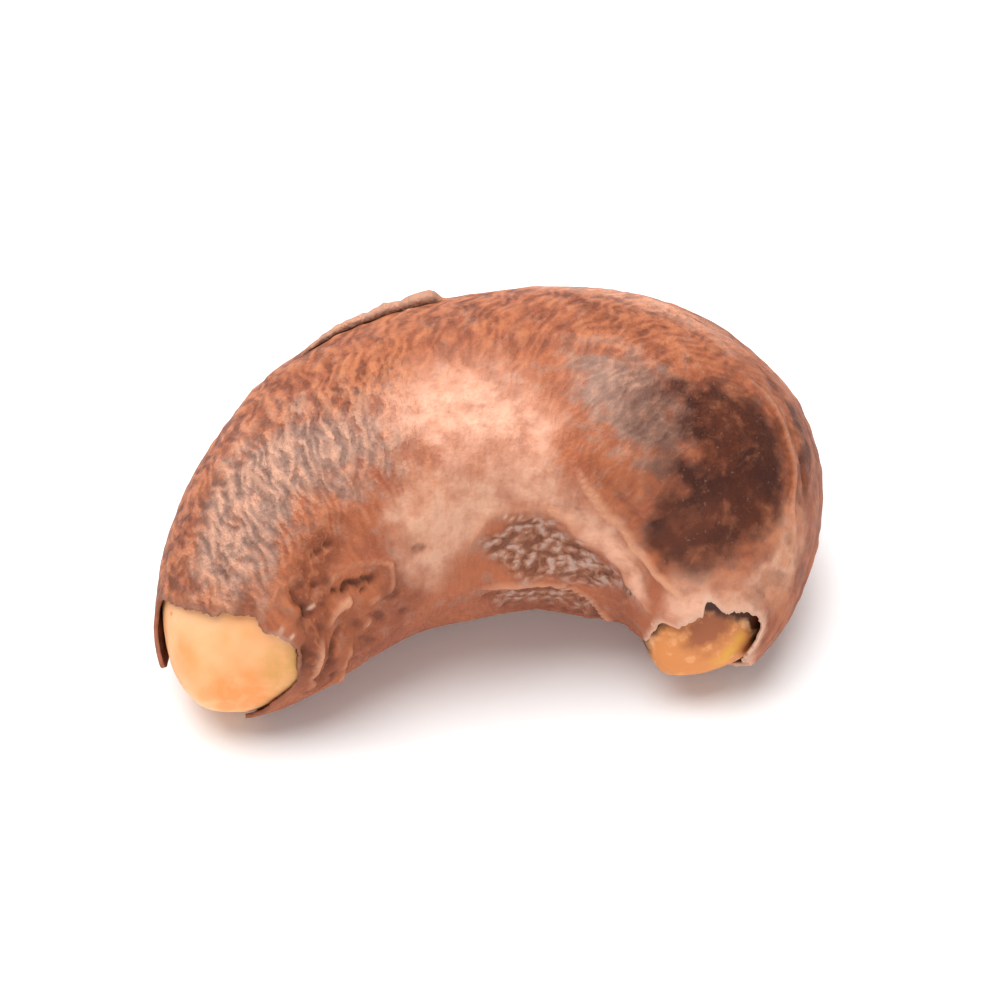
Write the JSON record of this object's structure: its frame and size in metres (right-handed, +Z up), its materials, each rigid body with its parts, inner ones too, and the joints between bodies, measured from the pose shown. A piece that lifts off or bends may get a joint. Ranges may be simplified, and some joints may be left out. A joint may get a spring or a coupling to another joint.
{
  "type": "roasted cashew nut",
  "caption": "Crescent-shaped roasted nut kernel in a thin wrinkled skin that is torn open at both tips, food or display prop.",
  "frame": {"origin": "centre of the bounding box in plan, on the surface that the nut lies on", "axes": "+X from the narrow leg's tip to the broad lobe's, +Y towards the rounded back of the crescent, +Z up, across the nut's thickness"},
  "size_m": [0.0258, 0.0169, 0.0115],
  "materials": {
    "kernel": "golden roasted nut flesh, smooth with a faint oily sheen",
    "skin": "dry papery nut skin, matt, wrinkled and blotched from pale salmon to dark brown"
  },
  "bodies": {
    "root": {"kernel": "kernel", "skin": "skin"}
  },
  "joints": []
}
